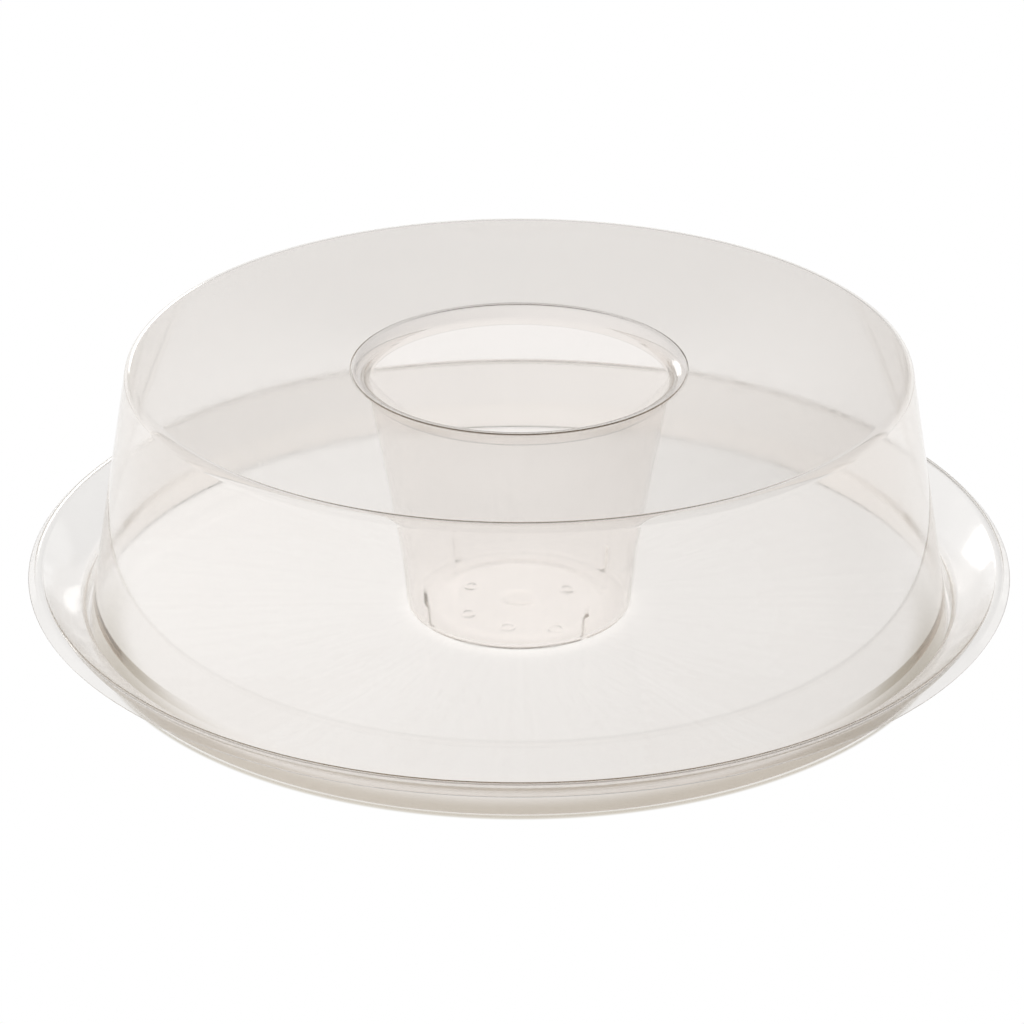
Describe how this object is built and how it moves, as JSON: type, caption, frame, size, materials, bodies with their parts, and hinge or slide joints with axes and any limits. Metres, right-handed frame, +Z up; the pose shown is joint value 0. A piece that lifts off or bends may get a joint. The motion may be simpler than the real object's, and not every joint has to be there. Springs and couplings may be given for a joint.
{
  "type": "humidity dome tray",
  "caption": "Round clear plastic humidity dome on a flared tray, with a drop-in centre cup that opens through the dome's flat top and reaches down to the tray floor.",
  "frame": {"origin": "centre of the tray's flat underside, on the surface it stands on", "axes": "+Z up along the common axis of all three turned pieces; +X and +Y horizontal, -Y towards the front"},
  "size_m": [0.3, 0.3, 0.0829],
  "materials": {
    "tray_plastic": "clear injection-moulded plastic, glossy, very slightly warm",
    "dome_plastic": "clear injection-moulded plastic, glossy",
    "cup_plastic": "clear injection-moulded plastic, glossy, faintly pink-grey where its wall is seen edge on"
  },
  "bodies": {
    "tray": {"tray": "tray_plastic"},
    "dome": {"dome": "dome_plastic"},
    "centre_cup": {"centre_cup": "cup_plastic"}
  },
  "joints": [
    {"name": "dome_lift", "type": "slide", "parent": "tray", "child": "dome", "axis": [0, 0, 1], "range_m": [0, 0.12]},
    {"name": "cup_lift", "type": "slide", "parent": "dome", "child": "centre_cup", "axis": [0, 0, 1], "range_m": [0, 0.1]}
  ]
}
